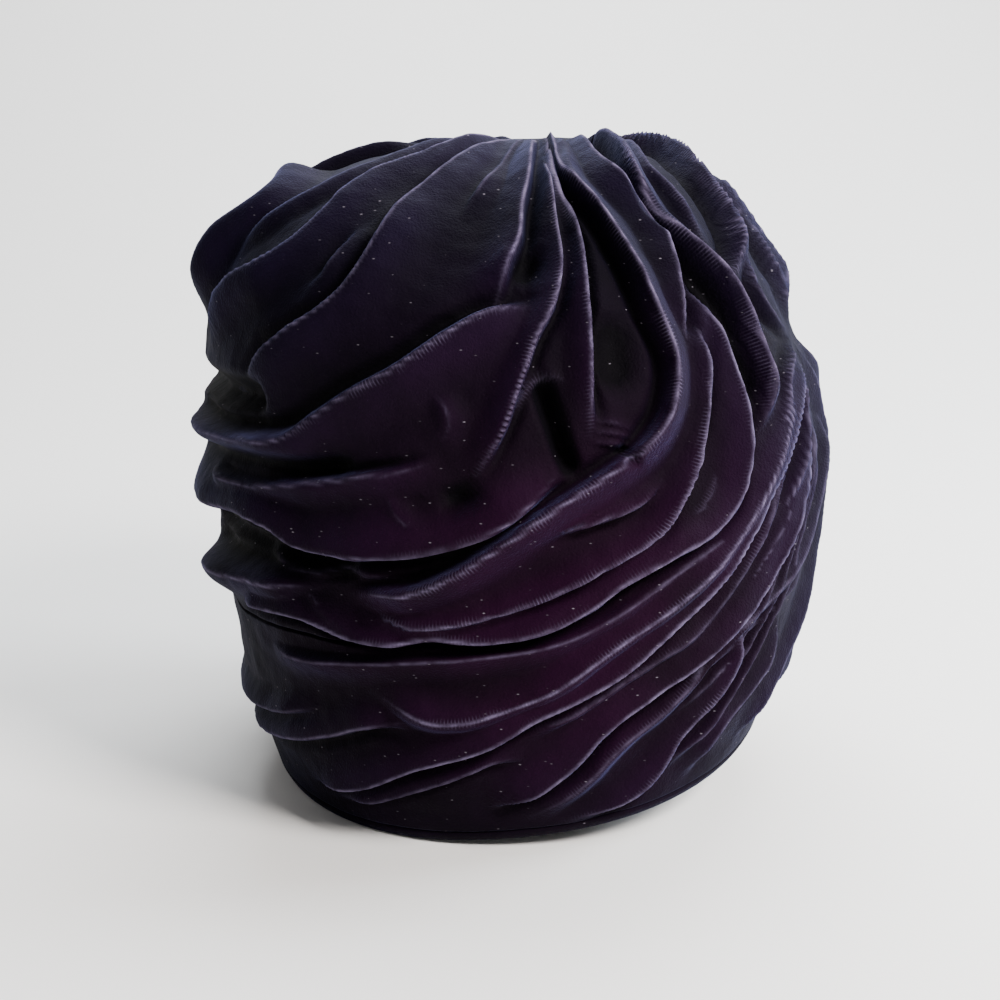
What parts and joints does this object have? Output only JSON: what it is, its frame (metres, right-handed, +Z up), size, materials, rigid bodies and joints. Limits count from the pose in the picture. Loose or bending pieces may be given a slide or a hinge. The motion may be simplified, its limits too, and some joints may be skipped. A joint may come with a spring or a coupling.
{
  "type": "turban headwrap",
  "caption": "Draped velvet turban headwrap in its worn form, gathered at the top, with swirling folds, a rolled rim and an open head hollow.",
  "frame": {"origin": "middle of the head opening, at the level of the rim", "axes": "+Z up through the crown, +Y toward the wearer's face, +X toward the side where the folds are gathered"},
  "size_m": [0.22, 0.2474, 0.218],
  "materials": {
    "velvet": "deep aubergine velvet with a cool sheen"
  },
  "bodies": {
    "root": {"crown_drape": "velvet", "wrap_drape": "velvet", "rim_roll": "velvet"}
  },
  "joints": []
}
